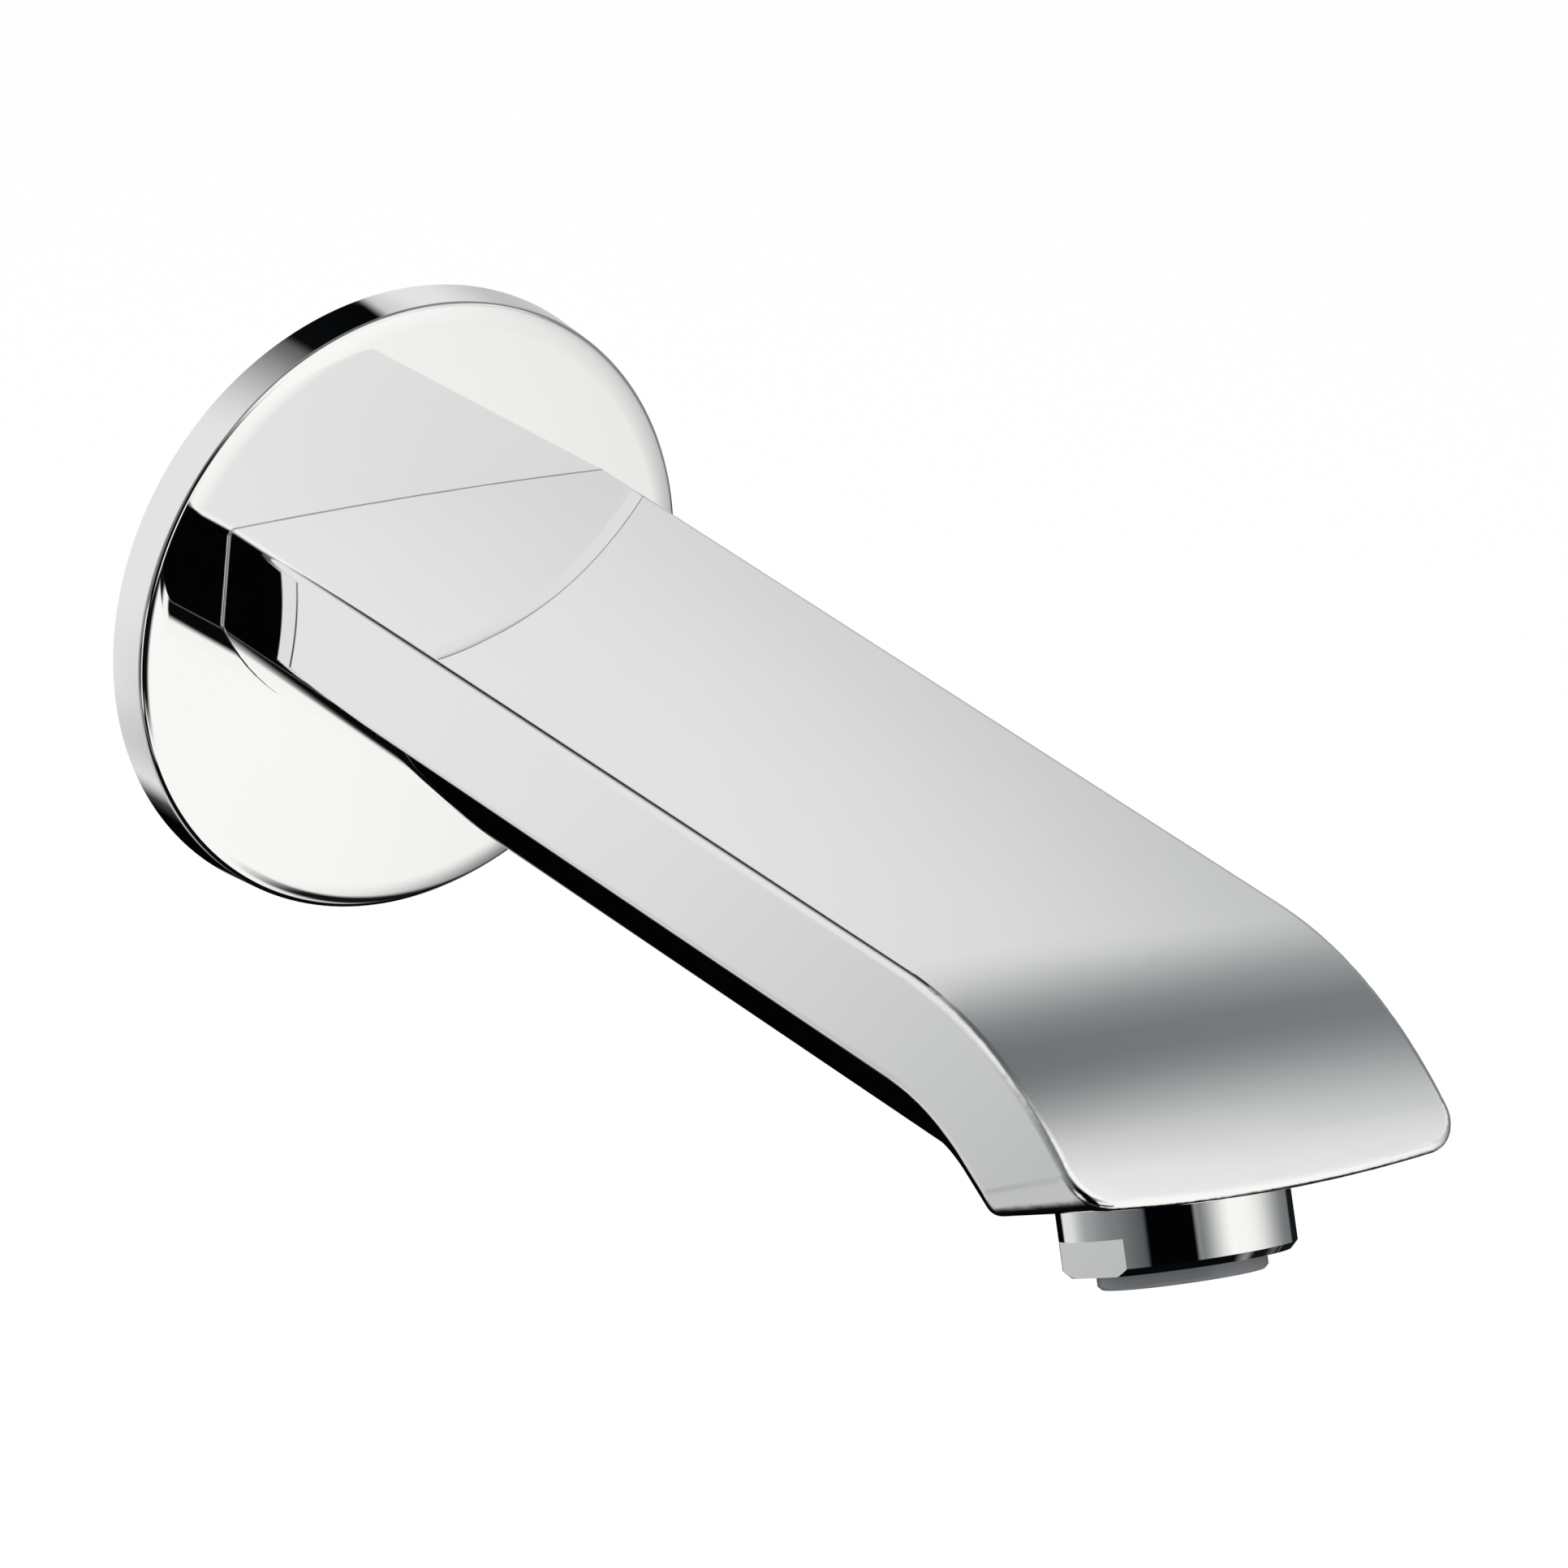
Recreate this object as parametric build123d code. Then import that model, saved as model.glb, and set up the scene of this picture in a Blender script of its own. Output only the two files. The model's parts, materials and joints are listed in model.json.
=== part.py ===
from build123d import *
import os
from math import cos, radians, sin, sqrt, tan

# Wall-mounted bath spout, in millimetres. The wall is the plane Y = 0, the spout reaches out along -Y,
# +X is to the right of somebody facing the wall and +Z is up. The supply pipe runs along the Y axis.

# Escutcheon, the round plate that covers the hole in the wall
PLATE_RADIUS = 35.0          # at its front edge
PLATE_DEPTH = 5.2            # from the wall to the flat face
PLATE_FLARE = 0.35           # growth of the radius towards the wall
PLATE_WALL = 1.6             # thickness of the front
RIM_WALL = 2.2               # thickness of the outer rim
BORDER_WIDTH = 2.7           # rounded border of the face
BORDER_DROP = 0.3            # how far that border falls back
RIM_EDGE_RADIUS = 0.5        # edge between the border and the rim
HUB_WALL = 2.6               # sleeve behind the front, around the neck
HUB_GAP = 1.2                # from the hub to the wall
GASKET_WIDTH = 6.0           # soft ring against the wall, inside the rim
GASKET_PLAY = 0.3            # between the gasket and the rim

# Arm, seen from the front: crowned top, flat sides, round belly
ARM_WIDTH = 49.5
ARM_TOP = 12.55              # upper side edge above the pipe axis, where the arm leaves the plate
TOP_CROWN = 0.45             # rise of the top between its two edges
SIDE_HEIGHT = 11.4           # flat side, from the upper edge to the belly
BELLY_SAG = 14.3             # depth of the belly below the sides
TOP_EDGE_RADIUS = 0.9
BELLY_EDGE_RADIUS = 1.8
ROOT_EDGE_RADIUS = 0.3       # eased edge where the arm meets the plate
SHELL = 3.0                  # wall around the waterway
CORE_CORNER = 2.5            # inner corners of the waterway

# Arm, seen from the side: straight, then bent down to the mouth
TOP_DROOP = 1.85             # degrees below level, top of the straight part
TOP_BEND_SETBACK = 17.3      # from the outlet axis back to the start of the upper bend
TOP_BEND_RADIUS = 56.0
BELLY_DROOP = 2.25           # degrees below level, belly of the straight part
BELLY_BEND_SETBACK = 18.7    # from the outlet axis back to the start of the lower bend
BELLY_BEND_RADIUS = 16.7
BELLY_END_DROOP = 28.5       # degrees below level, belly behind the mouth

# Mouth, the slanted underside of the tip
MOUTH_TILT = 22.0            # degrees, the water leaves forward
MOUTH_REACH = 146.3          # from the plate to the outlet axis, at the level of the mouth edge
MOUTH_DROP = 25.8            # mouth edge below the upper edge of the root, on the outlet axis
MOUTH_CROWN = 1.35           # the mouth bulges down between the sides
HEEL_CORNER = 1.2            # rounding between the sides and the mouth, at the belly
LIP_CORNER = 4.8             # the same rounding at the lip
MOUTH_HALF = 22.0            # from the outlet axis to the places of these two roundings

# Connection to the wall: nipple with an outer thread, arm pushed over it
THREAD_RADIUS = 10.48        # G 1/2 pipe thread
THREAD_LENGTH = 12.0         # part that goes into the wall fitting
THREAD_CHAMFER = 1.2
SPIGOT_RADIUS = 9.0
SPIGOT_CLEARANCE = 0.2       # between the spigot and the socket of the arm
SPIGOT_LENGTH = 25.0         # from the wall to the inner end
SPIGOT_CHAMFER = 0.8
KEY_ACROSS = 10.0            # hexagon for the fitting key
KEY_DEPTH = 14.0
INLET_RADIUS = 4.8           # water passage of the nipple
SEAL_GROOVE_DEPTH = 1.4
SEAL_GROOVE_WIDTH = 2.4
SEAL_WIDTH = 1.9
SEAL_ROUND = 0.6             # rounded corners of a pressed O-ring
SEAL_PLAY = 0.03             # between a soft ring and the round faces it presses on
SEAL_PITCH = 4.6             # between the two O-rings
SEAL_INSET = 2.6             # from the inner end to the first groove
NECK_WALL = 2.2              # wall of the arm around the socket
NECK_GAP = 0.8               # from the neck to the wall
NECK_CHAMFER = 0.8
PLATE_CLEARANCE = 0.15       # between the neck and the hole of the plate
GRIP_WIDTH = 1.5
GRIP_ROUND = 0.35
GRIP_GROOVE_DEPTH = 0.9
GRIP_GROOVE_PLAY = 0.2
PORT_RADIUS = 7.0            # from the socket into the waterway
PORT_LENGTH = 3.0
END_PLAY = 1.5               # between the nipple and the bottom of the socket

# Grub screw under the root
SCREW_RADIUS = 2.5
SCREW_CLEARANCE = 0.06
SCREW_INSET = 5.3            # from the plate to the screw axis
SCREW_RECESS = 1.0           # from the belly to the screw
SCREW_KEY_ACROSS = 2.5
SCREW_KEY_DEPTH = 2.0
SCREW_CHAMFER = 0.4
LOCK_GROOVE_DEPTH = 1.0
LOCK_GROOVE_WIDTH = 5.6

# Aerator, screwed into the mouth
COLLAR_RADIUS = 12.5
COLLAR_LENGTH = 7.6          # below its seat
COLLAR_CHAMFER = 0.8
COLLAR_SHOULDER = 0.3        # eased edge at its seat
FLAT_ACROSS = 22.0           # wrench flats
FLAT_HEIGHT = 4.0
COLLAR_THREAD_RADIUS = 11.9  # M24 x 1
COLLAR_THREAD_LENGTH = 6.0
COLLAR_THREAD_CLEARANCE = 0.1
COLLAR_THREAD_CHAMFER = 0.6
COLLAR_BORE = 9.9
COLLAR_LIP_WIDTH = 0.65
COLLAR_LIP_HEIGHT = 1.2
SEAT_MARGIN = 0.8            # flat seat around the collar
SEAT_SKIM = 0.1              # cut of the seat into the mouth at its outermost point
WASHER_HEIGHT = 1.6
WASHER_WIDTH = 2.2
WASHER_PLAY = 0.2
LEDGE_WIDTH = 2.2            # step in the mouth that the washer presses on
LEDGE_HEIGHT = 2.0
CARTRIDGE_PLAY = 0.15        # between the cartridge and the collar
CARTRIDGE_WALL = 1.5
CARTRIDGE_STEP = 0.85        # shelf that carries the diffuser
NOZZLE_OUT = 1.7             # part of the cartridge that stands out below the collar
NOZZLE_CHAMFER = 0.4
NOZZLE_LIP_WIDTH = 0.4       # lip that carries the grid
NOZZLE_LIP_HEIGHT = 0.6
INSERT_PLAY = 0.1            # between the inner pieces and the cartridge
GRID_HEIGHT = 3.0
GRID_RIB = 0.6
GRID_RINGS = 3
GRID_SPOKES = 12
DIFFUSER_INSET = 2.2         # from the top of the cartridge to the diffuser
DIFFUSER_HEIGHT = 1.6
DIFFUSER_JETS = 14
DIFFUSER_JET_RADIUS = 0.6
STRAINER_HEIGHT = 2.6
STRAINER_WALL = 0.6
STRAINER_RIM = 1.0           # flange that rests on the diffuser
STRAINER_SLOPE = 2.0         # how far the sieve narrows towards its top
STRAINER_HOLE_RADIUS = 0.5
STRAINER_RINGS = 2
STRAINER_FIRST_RING = 6      # holes around the middle one; each ring further out has as many more
STRAINER_PITCH = 1.9

# Blocks that other shapes cut to size
FAR = 400.0                  # longer than the whole spout
SPARE = 1.0                  # what a cut reaches past the material
TOP_BEND_ANGLE = 55.0        # degrees, well past the mouth
TOUCH = 0.001                # largest gap between a point and the surface that it lies on

# Sizes that follow from the ones above
HALF_WIDTH = ARM_WIDTH / 2
ROOT_Y = -PLATE_DEPTH
BELLY_DEPTH = SIDE_HEIGHT + BELLY_SAG
TOP_STRAIGHT = MOUTH_REACH - TOP_BEND_SETBACK
BELLY_STRAIGHT = MOUTH_REACH - BELLY_BEND_SETBACK
SOCKET_RADIUS = SPIGOT_RADIUS + SPIGOT_CLEARANCE
SOCKET_END_Y = -SPIGOT_LENGTH - END_PLAY
CORE_START_Y = SOCKET_END_Y - PORT_LENGTH
NECK_RADIUS = SOCKET_RADIUS + NECK_WALL
PLATE_HOLE = NECK_RADIUS + PLATE_CLEARANCE
PLATE_BACK_Y = ROOT_Y + PLATE_WALL
RIM_BORE = PLATE_RADIUS - RIM_WALL
GRIP_FRONT_Y = (ROOT_Y - HUB_GAP - GRIP_WIDTH) / 2
SCREW_Y = ROOT_Y - SCREW_INSET
SCREW_TOP_Z = LOCK_GROOVE_DEPTH - SPIGOT_RADIUS
SCREW_LOW_Z = ARM_TOP - BELLY_DEPTH - SCREW_INSET * tan(radians(BELLY_DROOP)) + SCREW_RECESS
THREAD_HOLE = COLLAR_THREAD_RADIUS + COLLAR_THREAD_CLEARANCE
LEDGE_U = -COLLAR_THREAD_LENGTH - WASHER_HEIGHT
FLOOR_U = LEDGE_U - LEDGE_HEIGHT
CARTRIDGE_RADIUS = COLLAR_BORE - CARTRIDGE_PLAY
CARTRIDGE_BORE = CARTRIDGE_RADIUS - CARTRIDGE_WALL
NOZZLE_RADIUS = COLLAR_BORE - COLLAR_LIP_WIDTH - CARTRIDGE_PLAY
NOZZLE_BORE = CARTRIDGE_BORE - CARTRIDGE_STEP
NOZZLE_END_U = COLLAR_LENGTH + NOZZLE_OUT
DIFFUSER_TOP_U = DIFFUSER_INSET - COLLAR_THREAD_LENGTH
SHELF_U = DIFFUSER_TOP_U + DIFFUSER_HEIGHT
UNDER_TOP = TOP_BEND_RADIUS - SPARE
ABOVE_BELLY = 2 * BELLY_DEPTH


def arc_radius(half_chord, sagitta):
    """Radius of an arc from half its chord and its height."""
    return (half_chord ** 2 + sagitta ** 2) / (2 * sagitta)


def arc_fall(radius, distance):
    """How far an arc has fallen at a distance from its highest point."""
    return radius - sqrt(radius ** 2 - distance ** 2)


PIPE_AXIS = Axis((0, 0, 0), (0, 1, 0))
FORWARD = Vector(0, -cos(radians(MOUTH_TILT)), sin(radians(MOUTH_TILT)))
POUR = Vector(0, -sin(radians(MOUTH_TILT)), -cos(radians(MOUTH_TILT)))
MOUTH_CENTRE = Vector(0, ROOT_Y - MOUTH_REACH, ARM_TOP - MOUTH_DROP)
SEAT_FALL = arc_fall(arc_radius(HALF_WIDTH, MOUTH_CROWN), COLLAR_RADIUS + SEAT_MARGIN)
SEAT_CENTRE = MOUTH_CENTRE + POUR * (MOUTH_CROWN - SEAT_FALL - SEAT_SKIM)
SEAT = Plane(origin=SEAT_CENTRE, x_dir=(1, 0, 0), z_dir=POUR)
OUTLET_SIDE = Plane(origin=SEAT_CENTRE, x_dir=(1, 0, 0), z_dir=FORWARD * -1)
OUTLET_AXIS = Axis(SEAT_CENTRE, POUR)


def pipe_turned(points):
    """A solid turned around the pipe axis, from points (radius, y)."""
    return revolve(make_face(Polyline(*points, close=True)), PIPE_AXIS)


def outlet_turned(points):
    """A solid turned around the outlet axis, from points (radius, distance below the seat)."""
    return revolve(OUTLET_SIDE * make_face(Polyline(*points, close=True)), OUTLET_AXIS)


def pipe_ring(inner, outer, back_y, front_y, rounding=0.0):
    """A plain or rounded ring around the pipe axis."""
    corners = [(inner, back_y), (outer, back_y), (outer, front_y), (inner, front_y)]
    face = make_face(Polyline(*corners, close=True))
    if rounding:
        face = fillet(face.vertices(), rounding)
    return revolve(face, PIPE_AXIS)


def outlet_cylinder(radius, start_u, end_u):
    """A plain cylinder on the outlet axis, between two distances below the seat."""
    return extrude(SEAT.offset(start_u) * Circle(radius), end_u - start_u)


def hexagon(across):
    """Hexagon for a key, by its width across the flats."""
    return RegularPolygon(across / 2, 6, major_radius=False)


def section_plane(y, z, droop):
    """Plane across the arm with its own y axis up, at a path that falls by droop degrees."""
    slope = radians(droop)
    return Plane(origin=(0, y, z), x_dir=(1, 0, 0), z_dir=(0, -cos(slope), -sin(slope)))


def top_profile(half, inset):
    """Crowned top with plain material under it; y = 0 is level with the upper edges."""
    crown = TOP_CROWN - inset
    edge = crown - arc_fall(arc_radius(HALF_WIDTH, TOP_CROWN) - inset, half)
    top = ThreePointArc((-half, edge), (0, crown), (half, edge))
    rest = Polyline((half, edge), (half, -UNDER_TOP), (-half, -UNDER_TOP), (-half, edge))
    return make_face(top + rest)


def belly_profile(half, inset):
    """Round belly with plain material above it; y = 0 is the lowest point of the belly."""
    edge = inset + arc_fall(arc_radius(HALF_WIDTH, BELLY_SAG) - inset, half)
    belly = ThreePointArc((-half, edge), (0, inset), (half, edge))
    rest = Polyline((half, edge), (half, ABOVE_BELLY), (-half, ABOVE_BELLY), (-half, edge))
    return make_face(belly + rest)


def top_sweep(half, inset, start_y):
    """Everything under the top face: straight part from start_y, then the bend."""
    bend_y = ROOT_Y - TOP_STRAIGHT
    bend_z = ARM_TOP - TOP_STRAIGHT * tan(radians(TOP_DROOP))
    plane = section_plane(bend_y, bend_z, TOP_DROOP)
    face = plane * top_profile(half, inset)
    straight = extrude(face, (bend_y - start_y) / cos(radians(TOP_DROOP)))
    pivot = plane.origin - plane.y_dir * TOP_BEND_RADIUS
    bend = revolve(face, Axis(pivot, (1, 0, 0)), TOP_BEND_ANGLE)
    return straight + bend


def belly_sweep(half, inset, start_y):
    """Everything above the belly: straight part from start_y, bend, and straight end."""
    bend_y = ROOT_Y - BELLY_STRAIGHT
    bend_z = ARM_TOP - BELLY_DEPTH - BELLY_STRAIGHT * tan(radians(BELLY_DROOP))
    plane = section_plane(bend_y, bend_z, BELLY_DROOP)
    face = plane * belly_profile(half, inset)
    straight = extrude(face, (bend_y - start_y) / cos(radians(BELLY_DROOP)))
    pivot = plane.origin - plane.y_dir * BELLY_BEND_RADIUS
    bend_axis = Axis(pivot, (1, 0, 0))
    turn = BELLY_END_DROOP - BELLY_DROOP
    bend = revolve(face, bend_axis, turn)
    end = extrude(face.rotate(bend_axis, turn), ARM_WIDTH)
    return straight + bend + end


def mouth_section(distance, corner):
    """The two flat sides of the arm and the bulging mouth, at a distance before the outlet axis."""
    plane = Plane(origin=MOUTH_CENTRE + FORWARD * distance, x_dir=(1, 0, 0), z_dir=FORWARD)
    mouth = ThreePointArc((-HALF_WIDTH, 0), (0, -MOUTH_CROWN), (HALF_WIDTH, 0))
    sides = Polyline((HALF_WIDTH, 0), (HALF_WIDTH, FAR), (-HALF_WIDTH, FAR), (-HALF_WIDTH, 0))
    face = make_face(mouth + sides)
    corners = face.vertices().sort_by(Axis.Y)[:2]
    return plane * fillet(corners, corner)


def mouth_prism():
    """Long block between the sides of the arm and over its mouth, with corners that grow to the lip."""
    heel = mouth_section(-MOUTH_HALF, HEEL_CORNER)
    growth = (LIP_CORNER - HEEL_CORNER) / 2
    beyond_lip = mouth_section(2 * MOUTH_HALF, LIP_CORNER + growth)
    return extrude(heel, -FAR) + loft([heel, beyond_lip], ruled=True)


def faces_on(block, source):
    """Faces of a block whose middle lies on the skin of the shape that it was cut from."""
    skin = source.faces()
    return [face for face in block.faces() if min(part.distance_to(face.center()) for part in skin) < TOUCH]


def border_edges(faces):
    """Edges around a group of faces, without the ones inside the group and the ones at the root."""
    edges = [edge for face in faces for edge in face.edges()]
    single = [edge for edge in edges if sum(edge.is_same(other) for other in edges) == 1]
    return [edge for edge in single if edge.center().Y < ROOT_Y - TOP_EDGE_RADIUS]


def arm_outside():
    """The arm as one block: top and belly, between the two sides, ending at the mouth."""
    top = top_sweep(HALF_WIDTH + SPARE, 0, 0)
    belly = belly_sweep(HALF_WIDTH + SPARE, 0, 0)
    block = top & belly & mouth_prism()
    block -= Pos(0, ROOT_Y + FAR / 2, 0) * Box(FAR, FAR, FAR)
    block = fillet(border_edges(faces_on(block, top)), TOP_EDGE_RADIUS)
    block = fillet(border_edges(faces_on(block, belly)), BELLY_EDGE_RADIUS)
    return fillet(block.edges().group_by(Axis.Y)[-1], ROOT_EDGE_RADIUS)


def waterway():
    """The hollow of the arm, from behind the socket to above the mouth."""
    half = HALF_WIDTH - SHELL
    core = top_sweep(half, SHELL, CORE_START_Y) & belly_sweep(half, SHELL, CORE_START_Y)
    core -= Pos(0, CORE_START_Y + FAR / 2, 0) * Box(FAR, FAR, FAR)
    core -= extrude(SEAT.offset(FLOOR_U) * Rectangle(FAR, FAR), FAR)
    long_edges = [edge for edge in core.edges() if edge.length > TOP_STRAIGHT / 2]
    return fillet(long_edges, CORE_CORNER)


def spout_body():
    """The cast arm with its neck, socket, waterway, mouth thread and screw hole."""
    body = arm_outside()
    body += pipe_ring(SOCKET_RADIUS / 2, NECK_RADIUS, -NECK_GAP, ROOT_Y - NECK_WALL)
    body -= waterway()
    body -= pipe_turned([
        (0, FAR), (SOCKET_RADIUS + NECK_CHAMFER, FAR), (SOCKET_RADIUS + NECK_CHAMFER, -NECK_GAP),
        (SOCKET_RADIUS, -NECK_GAP - NECK_CHAMFER), (SOCKET_RADIUS, SOCKET_END_Y),
        (PORT_RADIUS, SOCKET_END_Y), (PORT_RADIUS, CORE_START_Y - PORT_LENGTH),
        (0, CORE_START_Y - PORT_LENGTH),
    ])
    groove_floor = NECK_RADIUS - GRIP_GROOVE_DEPTH
    groove_back_y = GRIP_FRONT_Y + GRIP_WIDTH + GRIP_GROOVE_PLAY
    body -= pipe_ring(groove_floor, NECK_RADIUS + SPARE, groove_back_y, GRIP_FRONT_Y)
    body -= outlet_cylinder(COLLAR_RADIUS + SEAT_MARGIN, 0, COLLAR_LENGTH)
    body -= outlet_cylinder(THREAD_HOLE, LEDGE_U, SPARE)
    body -= outlet_cylinder(THREAD_HOLE - LEDGE_WIDTH, FLOOR_U - SPARE, 0)
    screw_plane = Plane(origin=(0, SCREW_Y, 0), z_dir=(0, 0, -1))
    return body - extrude(screw_plane * Circle(SCREW_RADIUS + SCREW_CLEARANCE), FAR)


def escutcheon():
    """The cover plate: flat face with a rounded border, rim, and a hub around the neck."""
    back_edge = (PLATE_RADIUS + PLATE_FLARE, 0)
    front_edge = (PLATE_RADIUS, ROOT_Y + BORDER_DROP)
    border = (PLATE_RADIUS - BORDER_WIDTH, ROOT_Y)
    hub_radius = PLATE_HOLE + HUB_WALL
    inside = Polyline(
        border, (PLATE_HOLE, ROOT_Y), (PLATE_HOLE, -HUB_GAP), (hub_radius, -HUB_GAP),
        (hub_radius, PLATE_BACK_Y), (RIM_BORE, PLATE_BACK_Y), (RIM_BORE, 0), back_edge, front_edge,
    )
    face = make_face(inside + TangentArc(border, front_edge, tangent=(1, 0)))
    corner = face.vertices().sort_by_distance((*front_edge, 0))[0]
    return revolve(fillet(corner, RIM_EDGE_RADIUS), PIPE_AXIS)


def escutcheon_gasket():
    """Soft ring inside the rim, pressed between the plate and the wall."""
    outer = RIM_BORE - GASKET_PLAY
    return pipe_ring(outer - GASKET_WIDTH, outer, 0, PLATE_BACK_Y)


def escutcheon_grip_ring():
    """O-ring in a groove of the neck, which holds the plate on the arm."""
    inner = NECK_RADIUS - GRIP_GROOVE_DEPTH + SEAL_PLAY
    return pipe_ring(inner, PLATE_HOLE - SEAL_PLAY, GRIP_FRONT_Y + GRIP_WIDTH, GRIP_FRONT_Y, GRIP_ROUND)


def seal_groove_backs():
    """The wall side of each O-ring groove on the nipple."""
    first = SEAL_INSET + SEAL_GROOVE_WIDTH - SPIGOT_LENGTH
    return [first, first + SEAL_PITCH]


def connection_nipple():
    """Threaded nipple with a spigot for the arm, two seal grooves and a groove for the screw."""
    nipple = pipe_turned([
        (INLET_RADIUS, THREAD_LENGTH), (THREAD_RADIUS - THREAD_CHAMFER, THREAD_LENGTH),
        (THREAD_RADIUS, THREAD_LENGTH - THREAD_CHAMFER), (THREAD_RADIUS, 0),
        (SPIGOT_RADIUS, SPIGOT_RADIUS - THREAD_RADIUS), (SPIGOT_RADIUS, SPIGOT_CHAMFER - SPIGOT_LENGTH),
        (SPIGOT_RADIUS - SPIGOT_CHAMFER, -SPIGOT_LENGTH), (INLET_RADIUS, -SPIGOT_LENGTH),
    ])
    outside = SPIGOT_RADIUS + SPARE
    for back_y in seal_groove_backs():
        nipple -= pipe_ring(SPIGOT_RADIUS - SEAL_GROOVE_DEPTH, outside, back_y, back_y - SEAL_GROOVE_WIDTH)
    lock_back_y = SCREW_Y + LOCK_GROOVE_WIDTH / 2
    lock_floor = SPIGOT_RADIUS - LOCK_GROOVE_DEPTH
    nipple -= pipe_ring(lock_floor, outside, lock_back_y, lock_back_y - LOCK_GROOVE_WIDTH)
    key_plane = Plane(origin=(0, -SPIGOT_LENGTH, 0), x_dir=(1, 0, 0), z_dir=(0, 1, 0))
    return nipple - extrude(key_plane * hexagon(KEY_ACROSS), KEY_DEPTH)


def nipple_seals():
    """The two O-rings, pushed to the wall side of their grooves by the water."""
    inner = SPIGOT_RADIUS - SEAL_GROOVE_DEPTH + SEAL_PLAY
    outer = SOCKET_RADIUS - SEAL_PLAY
    rings = []
    for back_y in seal_groove_backs():
        rings.append(pipe_ring(inner, outer, back_y, back_y - SEAL_WIDTH, SEAL_ROUND).solid())
    return Compound(children=rings)


def set_screw():
    """Grub screw from below, its point in the groove of the nipple."""
    length = SCREW_TOP_Z - SCREW_LOW_Z
    screw = Cylinder(SCREW_RADIUS, length, align=(Align.CENTER, Align.CENTER, Align.MIN))
    screw = chamfer(screw.edges(), SCREW_CHAMFER)
    screw -= extrude(hexagon(SCREW_KEY_ACROSS), SCREW_KEY_DEPTH)
    return Pos(0, SCREW_Y, SCREW_LOW_Z) * screw


def aerator_collar():
    """Screwed ring with an outer thread above its seat and two wrench flats below."""
    top_u = -COLLAR_THREAD_LENGTH
    lip_u = COLLAR_LENGTH - COLLAR_LIP_HEIGHT
    collar = outlet_turned([
        (COLLAR_BORE, top_u), (COLLAR_THREAD_RADIUS - COLLAR_THREAD_CHAMFER, top_u),
        (COLLAR_THREAD_RADIUS, top_u + COLLAR_THREAD_CHAMFER), (COLLAR_THREAD_RADIUS, 0),
        (COLLAR_RADIUS - COLLAR_SHOULDER, 0), (COLLAR_RADIUS, COLLAR_SHOULDER),
        (COLLAR_RADIUS, COLLAR_LENGTH - COLLAR_CHAMFER),
        (COLLAR_RADIUS - COLLAR_CHAMFER, COLLAR_LENGTH), (COLLAR_BORE - COLLAR_LIP_WIDTH, COLLAR_LENGTH),
        (COLLAR_BORE - COLLAR_LIP_WIDTH, lip_u), (COLLAR_BORE, lip_u),
    ])
    flat_plane = SEAT.offset(COLLAR_LENGTH - FLAT_HEIGHT)
    between_flats = Rectangle(FLAT_ACROSS, 2 * COLLAR_RADIUS + SPARE)
    waste = Circle(COLLAR_RADIUS + SPARE) - between_flats
    return collar - extrude(flat_plane * waste, FLAT_HEIGHT + SPARE)


def aerator_washer():
    """Flat seal between the top of the collar and the ledge in the mouth."""
    outer = THREAD_HOLE - WASHER_PLAY
    ring = [(outer - WASHER_WIDTH, LEDGE_U), (outer, LEDGE_U)]
    return outlet_turned(ring + [(radius, LEDGE_U + WASHER_HEIGHT) for radius, level in reversed(ring)])


def aerator_cartridge():
    """Plastic sleeve in the collar, with the nozzle that stands out below it."""
    top_u = -COLLAR_THREAD_LENGTH
    shoulder_u = COLLAR_LENGTH - COLLAR_LIP_HEIGHT
    lip_u = NOZZLE_END_U - NOZZLE_LIP_HEIGHT
    return outlet_turned([
        (CARTRIDGE_BORE, top_u), (CARTRIDGE_RADIUS, top_u), (CARTRIDGE_RADIUS, shoulder_u),
        (NOZZLE_RADIUS, shoulder_u), (NOZZLE_RADIUS, NOZZLE_END_U - NOZZLE_CHAMFER),
        (NOZZLE_RADIUS - NOZZLE_CHAMFER, NOZZLE_END_U), (NOZZLE_BORE - NOZZLE_LIP_WIDTH, NOZZLE_END_U),
        (NOZZLE_BORE - NOZZLE_LIP_WIDTH, lip_u), (NOZZLE_BORE, lip_u), (NOZZLE_BORE, SHELF_U),
        (CARTRIDGE_BORE, SHELF_U),
    ])


def aerator_grid():
    """Flow straightener: rings and spokes that rest on the lip of the nozzle."""
    outer = NOZZLE_BORE - INSERT_PLAY
    pitch = (outer - GRID_RIB) / GRID_RINGS
    ribs = Sketch()
    for ring in range(1, GRID_RINGS + 1):
        radius = ring * pitch + GRID_RIB
        ribs += Circle(radius) - Circle(radius - GRID_RIB)
    spoke_end = outer - GRID_RIB / 2
    spoke = Rectangle(spoke_end - pitch, GRID_RIB)
    ribs += PolarLocations((pitch + spoke_end) / 2, GRID_SPOKES) * spoke
    return extrude(SEAT.offset(NOZZLE_END_U - NOZZLE_LIP_HEIGHT - GRID_HEIGHT) * ribs, GRID_HEIGHT)


def aerator_diffuser():
    """Disc with a ring of jets, on the shelf of the cartridge."""
    radius = CARTRIDGE_BORE - INSERT_PLAY
    jet_circle = NOZZLE_BORE - 2 * DIFFUSER_JET_RADIUS
    disc = Circle(radius) - PolarLocations(jet_circle, DIFFUSER_JETS) * Circle(DIFFUSER_JET_RADIUS)
    return extrude(SEAT.offset(DIFFUSER_TOP_U) * disc, DIFFUSER_HEIGHT)


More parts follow.
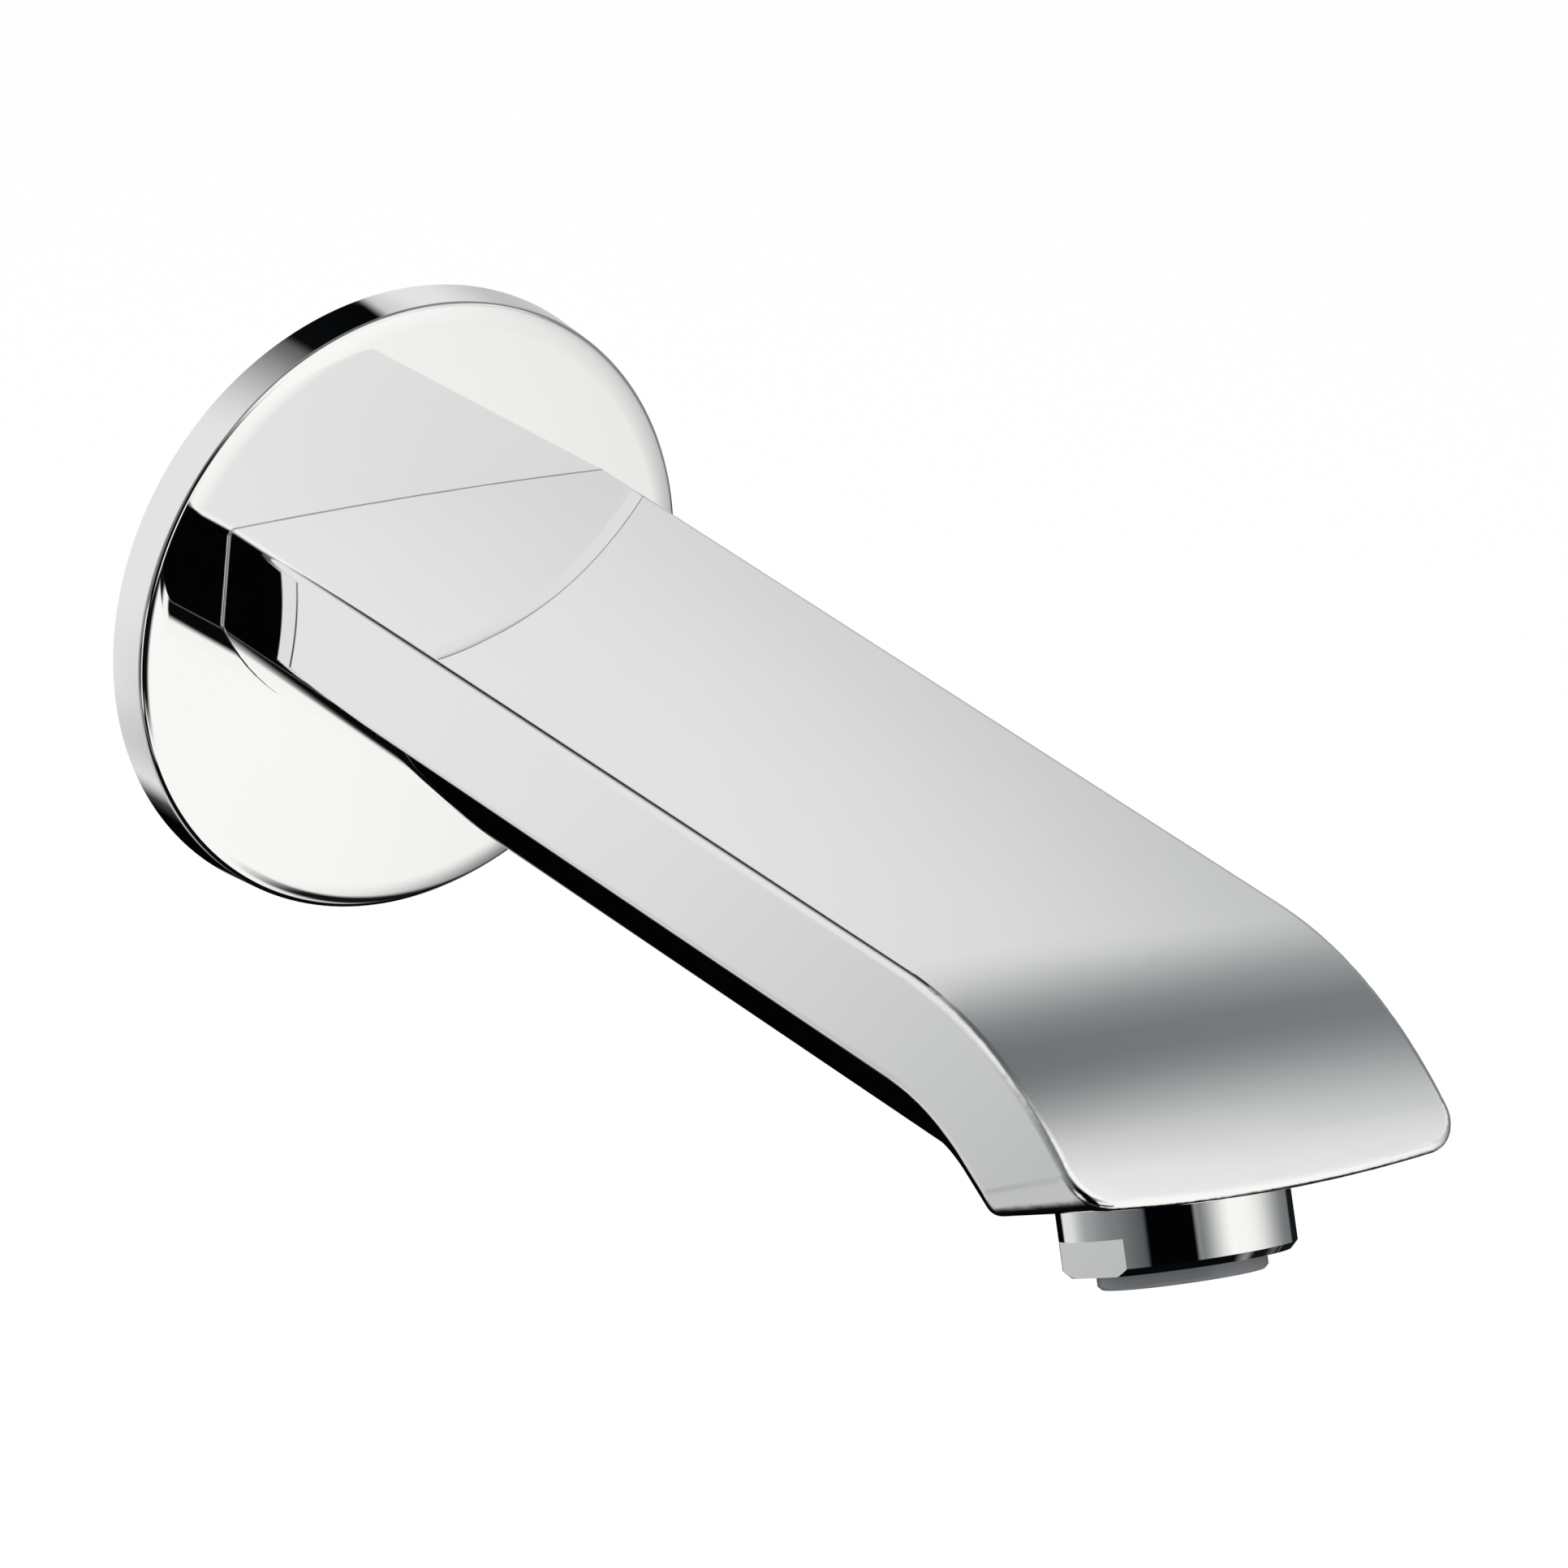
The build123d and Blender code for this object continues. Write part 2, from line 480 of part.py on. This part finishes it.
def aerator_strainer():
    """Sieve with a flange on the diffuser and a perforated flat top."""
    flange = CARTRIDGE_BORE - INSERT_PLAY
    base = flange - STRAINER_RIM
    top = base - STRAINER_SLOPE
    low_u = DIFFUSER_TOP_U
    high_u = low_u - STRAINER_HEIGHT
    sieve = outlet_turned([
        (base - STRAINER_WALL, low_u), (flange, low_u), (flange, low_u - STRAINER_WALL),
        (base, low_u - STRAINER_WALL), (top, high_u), (0, high_u), (0, high_u + STRAINER_WALL),
        (top - STRAINER_WALL, high_u + STRAINER_WALL),
    ])
    holes = Sketch() + Circle(STRAINER_HOLE_RADIUS)
    for ring in range(1, STRAINER_RINGS + 1):
        places = PolarLocations(ring * STRAINER_PITCH, ring * STRAINER_FIRST_RING)
        holes += places * Circle(STRAINER_HOLE_RADIUS)
    return sieve - extrude(SEAT.offset(high_u - SPARE) * holes, STRAINER_WALL + 2 * SPARE)


NODES = {
    "spout_body": spout_body,
    "escutcheon": escutcheon,
    "escutcheon_gasket": escutcheon_gasket,
    "escutcheon_grip_ring": escutcheon_grip_ring,
    "connection_nipple": connection_nipple,
    "nipple_seals": nipple_seals,
    "set_screw": set_screw,
    "aerator_collar": aerator_collar,
    "aerator_washer": aerator_washer,
    "aerator_cartridge": aerator_cartridge,
    "aerator_strainer": aerator_strainer,
    "aerator_diffuser": aerator_diffuser,
    "aerator_grid": aerator_grid,
}

os.makedirs("parts", exist_ok=True)
for name, build in NODES.items():
    export_step(build(), f"parts/{name}.step")
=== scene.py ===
import json
from math import cos, pi, radians, sin

import bmesh
import bpy
from mathutils import Matrix, Vector


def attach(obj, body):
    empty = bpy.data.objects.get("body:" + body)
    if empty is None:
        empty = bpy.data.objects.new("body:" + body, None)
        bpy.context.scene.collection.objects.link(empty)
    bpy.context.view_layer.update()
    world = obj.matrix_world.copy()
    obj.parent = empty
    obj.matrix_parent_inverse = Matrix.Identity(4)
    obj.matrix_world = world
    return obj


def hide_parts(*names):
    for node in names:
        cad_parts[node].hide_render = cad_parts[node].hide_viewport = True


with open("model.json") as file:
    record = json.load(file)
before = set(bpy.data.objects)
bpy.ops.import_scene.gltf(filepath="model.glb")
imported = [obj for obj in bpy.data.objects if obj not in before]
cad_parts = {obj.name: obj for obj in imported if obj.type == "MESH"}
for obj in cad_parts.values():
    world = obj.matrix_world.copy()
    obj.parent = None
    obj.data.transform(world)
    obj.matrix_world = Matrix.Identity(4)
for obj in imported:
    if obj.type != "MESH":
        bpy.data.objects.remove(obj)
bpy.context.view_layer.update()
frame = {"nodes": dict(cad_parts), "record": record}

# Wall-mounted bath spout, in metres. The wall is the plane Y = 0, the spout reaches out along -Y.
MM = 0.001

# Camera, at the viewing angle of the photograph
CAMERA_AZIMUTH = -36.15      # degrees, negative is to the left of the spout
CAMERA_ELEVATION = 20.75
CAMERA_ROLL = 4.87
CAMERA_DISTANCE = 3.0
CAMERA_TARGET = Vector((-9.7, -90.0, 11.2)) * MM
LENS = 646.96                # in millimetres, as is the sensor
SENSOR = 36.0

# Floor, lamps and the light of the room
FLOOR_Z = -0.55
FLOOR_SIZE = 30.0
FLOOR_COLOUR = (0.93, 0.93, 0.925, 1.0)
FLOOR_GLOW = 0.9             # share of the floor's white that shadows don't reach
ROOM_LIGHT = 0.9
WHITE = (1.0, 1.0, 1.0, 1.0)
# name, azimuth, elevation, distance, size, watts
LAMPS = [
    ("key_lamp", 35.0, 50.0, 1.3, 0.9, 8.0),
    ("fill_lamp", -80.0, 35.0, 1.5, 1.2, 4.0),
    ("back_lamp", 170.0, 40.0, 1.5, 1.0, 4.0),
]

# Studio that the polished metal mirrors: a white dome with soft cards on it
DOME_CENTRE = Vector((0.0, -0.09, 0.0))
DOME_RADIUS = 0.45
DOME_SEGMENTS = 96
DOME_COLOUR = (0.99, 0.99, 0.965, 1.0)
# Angles are in degrees, and a later card lies over the earlier ones. Each row has a name, azimuth,
# elevation, roll, half width, half height, softness of the sides, softness of top and bottom, colour.
STUDIO_CARDS = [
    ("back_right_wall", 156, 14, 5, 30, 77, 4, 3, (0.786, 0.791, 0.786, 1)),
    ("front_top", 60, 37, 12, 31, 19, 14, 8, (0.868, 0.867, 0.868, 1)),
    ("low_right_shade", 70, -40, 0, 15, 16, 13, 4, (0.215, 0.22, 0.225, 1)),
    ("right_grey", 100, 10, -12, 45, 23, 24, 12, (0.35, 0.36, 0.365, 1)),
    ("right_wall", 104, 49, -12, 21, 78, 20, 6, (0.194, 0.208, 0.218, 1)),
    ("right_low_wall", 90, -14, 0, 27, 16, 34, 8, (0.17, 0.18, 0.185, 1)),
    ("front_right_fill", 65, 33, 0, 14, 10, 4, 3, (0.805, 0.804, 0.805, 1)),
    ("right_limb", 114, -28, 0, 18, 17, 4, 3, (0.008, 0.009, 0.01, 1)),
    ("front_shade", -9, 16, -20, 12, 10, 15, 2, (0.18, 0.19, 0.195, 1)),
    ("back_left_wall", -161, 17, 11, 43, 54, 5, 4, (0.805, 0.808, 0.805, 1)),
    ("left_wall_edge", -94, -30, -22, 36.3, 72, 11, 3, (0.362, 0.372, 0.377, 1)),
    ("left_wall", -80, -9, -4, 26, 78, 21, 4, (0.2, 0.208, 0.214, 1)),
    ("left_shade", -52, 3, -2, 18, 44, 20, 12, (0.065, 0.07, 0.074, 1)),
    ("camera_side", -35.5, -7.5, 0, 22, 42.5, 2.5, 7, (0.0008, 0.001, 0.0014, 1)),
    ("low_left_glow", -61, -24, 0, 11, 15, 1, 2, (0.815, 0.815, 0.81, 1)),
    ("seam_shade", -86, -25, 0, 14, 7, 2, 1.5, (0.05, 0.052, 0.054, 1)),
    ("overhead", 182, 76, 0, 26, 19, 16, 18, (0.115, 0.12, 0.125, 1)),
    ("top_flag", 170, 46, 0, 9, 12, 1.5, 3, (0.0008, 0.001, 0.0014, 1)),
    ("top_flag_fade", 180, 46, 0, 12, 12, 17, 3, (0.003, 0.0035, 0.004, 1)),
    ("low_flag", 160, -42, 0, 22, 18, 4, 4, (0.0008, 0.001, 0.0012, 1)),
    ("below", 0, -90, 45, 40.3, 40.3, 2, 2, (0.002, 0.0025, 0.003, 1)),
    ("chamfer_flag", 74, -47, 0, 28, 3, 4, 1.5, (0.006, 0.007, 0.008, 1)),
    ("low_front_flag", -2, -24, 0, 16, 9, 2, 3, (0.004, 0.0045, 0.005, 1)),
    ("low_left_back", -141, -50, 4, 18, 19, 14, 6, (0.54, 0.545, 0.545, 1)),
]

# Materials: two tones that blend in clouds, both ends of the roughness, height of the relief
CHROME_TONES = ((0.935, 0.94, 0.935, 1), (0.955, 0.96, 0.955, 1))
CHROME_ROUGHNESS = (0.012, 0.03)
CHROME_WAVES = 0.002 * MM
EDGE_SOFTENING = 0.4 * MM    # the plating evens out the small edges of the arm
EDGE_SAMPLES = 6
BRASS_TONES = ((0.80, 0.60, 0.27, 1), (0.55, 0.38, 0.17, 1))
BRASS_ROUGHNESS = (0.2, 0.38)
BRASS_MARKS = 0.012 * MM
BRASS_STRETCH = (20.0, 6000.0, 20.0)    # tool marks run around the Y axis
STEEL_TONES = ((0.42, 0.43, 0.44, 1), (0.62, 0.63, 0.64, 1))
STEEL_ROUGHNESS = (0.25, 0.42)
STEEL_GRAIN = 0.01 * MM
RUBBER_TONES = ((0.014, 0.014, 0.015, 1), (0.035, 0.035, 0.036, 1))
RUBBER_ROUGHNESS = (0.5, 0.72)
RUBBER_GRAIN = 0.04 * MM
GREY_TONES = ((0.12, 0.13, 0.14, 1), (0.18, 0.19, 0.2, 1))
GREY_ROUGHNESS = (0.32, 0.5)
PALE_TONES = ((0.70, 0.71, 0.71, 1), (0.80, 0.81, 0.81, 1))
PALE_ROUGHNESS = (0.3, 0.45)
PLASTIC_GRAIN = 0.015 * MM

# Turned pieces, in millimetres; y is the distance into the wall
COLUMNS = 192                # points of a ring
CREASE = radians(32)         # steeper edges are shaded as sharp ones

# Cover plate
PLATE_FACE_Y = -5.2
PLATE_WALL = 1.6             # thickness of the front
PLATE_BACK_RADIUS = 35.35    # outside of the rim, at the wall
PLATE_BORE = 32.8            # inside of the rim
PLATE_HOLE = 11.55
HUB_WALL = 2.6               # sleeve behind the front, around the hole
HUB_Y = -1.2
FLAT_RADIUS = 32.19          # flat part of the face
FACE_MARGIN = 0.1            # keeps the shading of the border off the flat face
BORDER_RADIUS = 12.3
BORDER_TURN = 10.88          # degrees from the flat face to the edge
RIM_DRAFT = 4.09             # degrees, the rim widens towards the wall
EDGE_RADIUS = 0.65
EDGE_TURN = 90 - RIM_DRAFT - BORDER_TURN
ARC_STEPS = 12
PLATE_BACK_Y = PLATE_FACE_Y + PLATE_WALL
HUB_RADIUS = PLATE_HOLE + HUB_WALL

# Nipple with its pipe thread
THREAD_LENGTH = 12.0
THREAD_PITCH = 1.814         # G 1/2
THREAD_TOP = 10.478          # outer radius of the thread
THREAD_ROOT = 9.316
THREAD_FLANK = 1.3           # above 1, crests and roots are flattened
THREAD_CHAMFER = 1.2
THREAD_RUN_OUT = 1.5         # the thread fades out next to the wall
ROWS_PER_TURN = 16
BORE_RADIUS = 4.8
SPIGOT_RADIUS = 9.0
SPIGOT_END_Y = -25.0
SPIGOT_CHAMFER = 0.8
KEY_ACROSS = 10.0
KEY_DEPTH = 14.0
KEY_END_Y = SPIGOT_END_Y + KEY_DEPTH
# depth, width, y of the middle
NIPPLE_GROOVES = [
    (1.0, 5.6, -10.5),
    (1.4, 2.4, -16.6),
    (1.4, 2.4, -21.2),
]


def direction(azimuth, elevation):
    """Unit vector; azimuth 0 is the way the spout reaches, 90 is +X."""
    a = radians(azimuth)
    e = radians(elevation)
    return Vector((sin(a) * cos(e), -cos(a) * cos(e), sin(e)))


# Node trees


class Tree:
    """Adds nodes to a material or world and links them."""

    # Places of the colours among the sockets of a Mix node
    FIRST_COLOUR = 6
    SECOND_COLOUR = 7
    MIXED_COLOUR = 2

    def __init__(self, owner):
        owner.use_nodes = True
        self.tree = owner.node_tree
        self.tree.nodes.clear()

    def add(self, kind, inputs=None, **settings):
        """A node with its settings; inputs maps a socket to a value or to another socket."""
        node = self.tree.nodes.new("ShaderNode" + kind)
        for name, value in settings.items():
            setattr(node, name, value)
        for socket, value in (inputs or {}).items():
            if isinstance(value, bpy.types.NodeSocket):
                self.tree.links.new(value, node.inputs[socket])
            else:
                node.inputs[socket].default_value = value
        return node

    def math(self, operation, first, second=0.0, third=0.0):
        node = self.add("Math", {0: first, 1: second, 2: third}, operation=operation)
        return node.outputs[0]

    def dot(self, vector, axis):
        node = self.add("VectorMath", {0: vector, 1: tuple(axis)}, operation="DOT_PRODUCT")
        return node.outputs["Value"]

    def soft_step(self, value, low, high, start=0.0, end=1.0):
        """Goes smoothly from start to end while the value goes from low to high."""
        inputs = {"Value": value, "From Min": low, "From Max": high, "To Min": start, "To Max": end}
        return self.add("MapRange", inputs, interpolation_type="SMOOTHSTEP").outputs["Result"]

    def mix(self, factor, first, second, label=""):
        inputs = {"Factor": factor, self.FIRST_COLOUR: first, self.SECOND_COLOUR: second}
        return self.add("Mix", inputs, data_type="RGBA", label=label).outputs[self.MIXED_COLOUR]


def new_material(name):
    """An empty material, its node tree, and the place of a point in the piece's own axes."""
    material = bpy.data.materials.new(name)
    tree = Tree(material)
    return material, tree, tree.add("TexCoord").outputs["Object"]


# Studio


def add_camera():
    """The camera of the photograph, aimed at the middle of the picture."""
    back = direction(CAMERA_AZIMUTH, CAMERA_ELEVATION)
    right = Vector((0, 0, 1)).cross(back).normalized()
    up = back.cross(right)
    turn = Matrix((right, up, back)).transposed() @ Matrix.Rotation(radians(CAMERA_ROLL), 3, "Z")
    data = bpy.data.cameras.new("camera")
    data.lens = LENS
    data.sensor_width = SENSOR
    camera = bpy.data.objects.new("camera", data)
    camera.matrix_world = Matrix.Translation(CAMERA_TARGET + back * CAMERA_DISTANCE) @ turn.to_4x4()
    bpy.context.scene.collection.objects.link(camera)
    bpy.context.scene.camera = camera


def add_lamps():
    """Soft lamps aimed at the middle of the dome; the metal mirrors the dome and not the lamps."""
    for name, azimuth, elevation, distance, size, watts in LAMPS:
        data = bpy.data.lights.new(name, "AREA")
        data.size = size
        data.energy = watts
        lamp = bpy.data.objects.new(name, data)
        away = direction(azimuth, elevation)
        lamp.location = DOME_CENTRE + away * distance
        lamp.rotation_euler = away.to_track_quat("Z", "Y").to_euler()
        lamp.visible_glossy = False
        bpy.context.scene.collection.objects.link(lamp)


def add_room():
    """Even soft light all round, and white where the camera looks past the floor."""
    room = bpy.data.worlds.new("room")
    bpy.context.scene.world = room
    tree = Tree(room)
    camera_ray = tree.add("LightPath").outputs["Is Camera Ray"]
    strength = tree.math("MULTIPLY_ADD", camera_ray, 1.0 - ROOM_LIGHT, ROOM_LIGHT)
    light = tree.add("Background", {"Color": WHITE, "Strength": strength})
    tree.add("OutputWorld", {"Surface": light.outputs[0]})
    room.cycles_visibility.glossy = False


def add_stage_mesh(name, build, location):
    """A mesh that belongs to the studio and not to the object; build fills it."""
    mesh = bpy.data.meshes.new(name)
    shape = bmesh.new()
    build(shape)
    shape.to_mesh(mesh)
    shape.free()
    thing = bpy.data.objects.new(name, mesh)
    thing.location = location
    bpy.context.scene.collection.objects.link(thing)
    return thing


def add_floor():
    """Pale matt floor with a glow that keeps its shadows faint."""
    def plain(shape):
        bmesh.ops.create_grid(shape, size=FLOOR_SIZE / 2)

    floor = add_stage_mesh("floor", plain, (0, 0, FLOOR_Z))
    material = bpy.data.materials.new("pale_floor")
    tree = Tree(material)
    path = tree.add("LightPath")
    seen = tree.math("MAXIMUM", path.outputs["Is Camera Ray"], path.outputs["Is Glossy Ray"])
    seen = tree.math("MAXIMUM", seen, path.outputs["Is Transmission Ray"])
    matt = tree.add("BsdfDiffuse", {"Color": FLOOR_COLOUR})
    glow = tree.add("Emission", {"Color": WHITE, "Strength": 1.0})
    share = tree.math("MULTIPLY", seen, FLOOR_GLOW)
    mixed = tree.add("MixShader", {0: share, 1: matt.outputs[0], 2: glow.outputs[0]})
    tree.add("OutputMaterial", {"Surface": mixed.outputs[0]})
    floor.data.materials.append(material)


def card_mask(tree, way, azimuth, elevation, roll, half_width, half_height, soft_sides, soft_top):
    """1 on a soft-edged card and 0 off it; way is the unit vector from the dome's centre."""
    ahead = direction(azimuth, elevation)
    level = direction(azimuth + 90, 0)
    upright = ahead.cross(level)
    turn = radians(roll)
    side_axis = level * cos(turn) + upright * sin(turn)
    top_axis = upright * cos(turn) - level * sin(turn)
    depth = tree.dot(way, ahead)
    mask = tree.math("GREATER_THAN", depth, 0.0)
    extents = ((side_axis, half_width, soft_sides), (top_axis, half_height, soft_top))
    for axis, half, soft in extents:
        angle = tree.math("ABSOLUTE", tree.math("ARCTAN2", tree.dot(way, axis), depth))
        inside = tree.soft_step(angle, radians(half - soft), radians(half + soft), 1.0, 0.0)
        mask = tree.math("MULTIPLY", mask, inside)
    return mask


def add_studio_dome():
    """White dome with cards, seen only in reflections."""
    def ball(shape):
        rings = DOME_SEGMENTS // 2
        bmesh.ops.create_uvsphere(shape, u_segments=DOME_SEGMENTS, v_segments=rings, radius=DOME_RADIUS)

    dome = add_stage_mesh("studio_dome", ball, DOME_CENTRE)
    for ray in ("camera", "diffuse", "transmission", "volume_scatter", "shadow"):
        setattr(dome, "visible_" + ray, False)
    material, tree, place = new_material("studio_cards")
    way = tree.add("VectorMath", {0: place}, operation="NORMALIZE").outputs["Vector"]
    colour = DOME_COLOUR
    for name, *shape, tone in STUDIO_CARDS:
        colour = tree.mix(card_mask(tree, way, *shape), colour, tone, label=name)
    light = tree.add("Emission", {"Color": colour, "Strength": 1.0})
    tree.add("OutputMaterial", {"Surface": light.outputs[0]})
    dome.data.materials.append(material)


# Materials


def surface(tree, inputs):
    shader = tree.add("BsdfPrincipled", inputs)
    tree.add("OutputMaterial", {"Surface": shader.outputs[0]})


def noise(tree, place, scale, detail):
    """Clouds of values around 0.5; scale is how many of them fit into a metre."""
    return tree.add("TexNoise", {"Vector": place, "Scale": scale, "Detail": detail}).outputs[0]


def clouds(tree, place, tones, scale, detail):
    """Two tones that blend into each other."""
    return tree.mix(noise(tree, place, scale, detail), *tones)


def roughness(tree, place, ends, scale, detail=3, low=0.2, high=0.8):
    """Roughness that wanders between its two ends, which it has where the noise is low and high."""
    return tree.soft_step(noise(tree, place, scale, detail), low, high, *ends)


def bump(tree, height, distance, normal=None):
    inputs = {"Height": height, "Strength": 1.0, "Distance": distance}
    if normal:
        inputs["Normal"] = normal
    return tree.add("Bump", inputs).outputs["Normal"]


def chrome(name, edge_softening=None):
    """Bright polished plating: nearly a mirror, with a trace of waviness and haze."""
    material, tree, place = new_material(name)
    colour = clouds(tree, place, CHROME_TONES, scale=55, detail=3)
    haze = roughness(tree, place, CHROME_ROUGHNESS, scale=140, detail=4, low=0.3)
    edges = None
    if edge_softening:
        bevel = tree.add("Bevel", {"Radius": edge_softening}, samples=EDGE_SAMPLES)
        edges = bevel.outputs["Normal"]
    waves = bump(tree, noise(tree, place, scale=45, detail=1), CHROME_WAVES, edges)
    surface(tree, {"Base Color": colour, "Metallic": 1.0, "Roughness": haze, "Normal": waves})
    return material


def brass():
    """Turned brass with fine tool marks and a little tarnish."""
    material, tree, place = new_material("turned_brass")
    tarnish = tree.soft_step(noise(tree, place, scale=160, detail=5), low=0.4, high=0.75)
    colour = tree.mix(tarnish, *BRASS_TONES)
    rough = roughness(tree, place, BRASS_ROUGHNESS, scale=300)
    around = tree.add("Mapping", {"Vector": place, "Scale": BRASS_STRETCH}).outputs[0]
    marks = bump(tree, noise(tree, around, scale=1, detail=2), BRASS_MARKS)
    surface(tree, {"Base Color": colour, "Metallic": 1.0, "Roughness": rough, "Normal": marks})
    return material


def steel():
    """Plain steel of the grub screw."""
    material, tree, place = new_material("plain_steel")
    colour = clouds(tree, place, STEEL_TONES, scale=500, detail=4)
    rough = roughness(tree, place, STEEL_ROUGHNESS, scale=900)
    grain = bump(tree, noise(tree, place, scale=2500, detail=3), STEEL_GRAIN)
    surface(tree, {"Base Color": colour, "Metallic": 1.0, "Roughness": rough, "Normal": grain})
    return material


def rubber():
    """Black moulded rubber."""
    material, tree, place = new_material("black_rubber")
    colour = clouds(tree, place, RUBBER_TONES, scale=220, detail=5)
    rough = roughness(tree, place, RUBBER_ROUGHNESS, scale=400)
    grain = bump(tree, noise(tree, place, scale=1800, detail=4), RUBBER_GRAIN)
    surface(tree, {"Base Color": colour, "Roughness": rough, "Normal": grain})
    return material


def plastic(name, tones, ends):
    """Fine-grained injection moulding."""
    material, tree, place = new_material(name)
    colour = clouds(tree, place, tones, scale=260, detail=4)
    rough = roughness(tree, place, ends, scale=500)
    grain = bump(tree, noise(tree, place, scale=3000, detail=3), PLASTIC_GRAIN)
    surface(tree, {"Base Color": colour, "Roughness": rough, "Normal": grain})
    return material


# Materials by the slots of the record; the arm alone has its edges evened out
MATERIALS = {
    "chrome": chrome("polished_chrome"),
    "brass": brass(),
    "steel": steel(),
    "black_rubber": rubber(),
    "grey_plastic": plastic("grey_plastic", GREY_TONES, GREY_ROUGHNESS),
    "pale_plastic": plastic("pale_plastic", PALE_TONES, PALE_ROUGHNESS),
}
ARM_CHROME = chrome("polished_arm", EDGE_SOFTENING)


def dress_nodes():
    """Give each solid the material of its slot, and the arm its own chrome."""
    for entry in frame["record"]["subparts"]:
        material = MATERIALS[entry["material_slot"]]
        if entry["node"] == "spout_body":
            material = ARM_CHROME
        node = frame["nodes"][entry["node"]]
        node.data.materials.clear()
        node.data.materials.append(material)


# Turned pieces that stand for solids of the frame


def ring(radius_at, y):
    """Points around the pipe, from the top towards +X; radius_at takes the share of a turn."""
    points = []
    for column in range(COLUMNS):
        share = column / COLUMNS
        radius = radius_at(share)
        points.append((radius * sin(2 * pi * share), y, radius * cos(2 * pi * share)))
    return points


def plain_ring(radius, y):
    return ring(lambda share: radius, y)


def hexagon_ring(across, y):
    """Points of a hexagon around the pipe, with flats at its top and bottom."""
    points = []
    for x, level, z in plain_ring(across / 2, y):
        reach = max(abs(z), abs(x * sin(pi / 3) + z / 2), abs(x * sin(pi / 3) - z / 2))
        scale = across / 2 / reach
        points.append((x * scale, level, z * scale))
    return points


def thread_radius(share, y):
    """Radius of the thread at a share of the turn and a distance into the wall."""
    wave = THREAD_FLANK * cos(2 * pi * (y / THREAD_PITCH - share))
    depth = (1 - max(-1, min(1, wave))) / 2
    fade = min(1, y / THREAD_RUN_OUT)
    radius = THREAD_TOP - depth * fade * (THREAD_TOP - THREAD_ROOT)
    chamfer = THREAD_TOP - max(0, y - THREAD_LENGTH + THREAD_CHAMFER)
    return min(radius, chamfer)


def thread_ring(y):
    return ring(lambda share: thread_radius(share, y), y)


def nipple_rings():
    """All rings of the nipple, from the bore at its wall end over the outside to the key and back."""
    rings = [plain_ring(BORE_RADIUS, THREAD_LENGTH)]
    rows = round(THREAD_LENGTH / THREAD_PITCH * ROWS_PER_TURN)
    rings += [thread_ring(THREAD_LENGTH * (1 - row / rows)) for row in range(rows + 1)]
    # A shoulder of 45 degrees leads from the thread to the spigot
    outline = [(SPIGOT_RADIUS, SPIGOT_RADIUS - THREAD_TOP)]
    for depth, width, middle_y in NIPPLE_GROOVES:
        floor_radius = SPIGOT_RADIUS - depth
        back_y = middle_y + width / 2
        front_y = middle_y - width / 2
        outline += [(SPIGOT_RADIUS, back_y), (floor_radius, back_y)]
        outline += [(floor_radius, front_y), (SPIGOT_RADIUS, front_y)]
    outline.append((SPIGOT_RADIUS, SPIGOT_END_Y + SPIGOT_CHAMFER))
    outline.append((SPIGOT_RADIUS - SPIGOT_CHAMFER, SPIGOT_END_Y))
    rings += [plain_ring(radius, y) for radius, y in outline]
    rings += [hexagon_ring(KEY_ACROSS, SPIGOT_END_Y), hexagon_ring(KEY_ACROSS, KEY_END_Y)]
    rings.append(plain_ring(BORE_RADIUS, KEY_END_Y))
    return rings


def arc_outline(start, heading, radius, turn):
    """Points (radius, y) along an arc that bends towards the wall; the angles are in degrees."""
    points = []
    for step in range(1, ARC_STEPS + 1):
        angle = heading + turn * step / ARC_STEPS
        out = radius * (sin(radians(angle)) - sin(radians(heading)))
        back = radius * (cos(radians(heading)) - cos(radians(angle)))
        points.append((start[0] + out, start[1] + back))
    return points


def plate_rings():
    """The cover plate from its hub along the back, over the rim, border and face to its hole."""
    face_radii = (PLATE_HOLE, FLAT_RADIUS - FACE_MARGIN, FLAT_RADIUS)
    outline = [(radius, PLATE_FACE_Y) for radius in face_radii]
    outline += arc_outline(outline[-1], 0, BORDER_RADIUS, BORDER_TURN)
    outline += arc_outline(outline[-1], BORDER_TURN, EDGE_RADIUS, EDGE_TURN)
    outline += [(PLATE_BACK_RADIUS, 0), (PLATE_BORE, 0), (PLATE_BORE, PLATE_BACK_Y)]
    outline += [(HUB_RADIUS, PLATE_BACK_Y), (HUB_RADIUS, HUB_Y), (PLATE_HOLE, HUB_Y)]
    return [plain_ring(radius, y) for radius, y in reversed(outline)]


def add_turned(name, rings, node, slot):
    """A smooth closed piece from its rings, in the place of a solid."""
    points = [Vector(point) * MM for ring_points in rings for point in ring_points]
    faces = []
    for row in range(len(rings)):
        this = row * COLUMNS
        after = (row + 1) % len(rings) * COLUMNS
        for column in range(COLUMNS):
            beside = (column + 1) % COLUMNS
            faces.append((this + column, after + column, after + beside, this + beside))
    mesh = bpy.data.meshes.new(name)
    mesh.from_pydata(points, [], faces)
    mesh.shade_smooth()
    mesh.set_sharp_from_angle(angle=CREASE)
    mesh.materials.append(MATERIALS[slot])
    piece = bpy.data.objects.new(name, mesh)
    bpy.context.scene.collection.objects.link(piece)
    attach(piece, "root")
    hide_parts(node)


dress_nodes()
add_turned("turned_plate", plate_rings(), "escutcheon", "chrome")
add_turned("threaded_nipple", nipple_rings(), "connection_nipple", "brass")
bpy.context.scene.view_settings.view_transform = "Standard"
add_camera()
add_room()
add_lamps()
add_floor()
add_studio_dome()
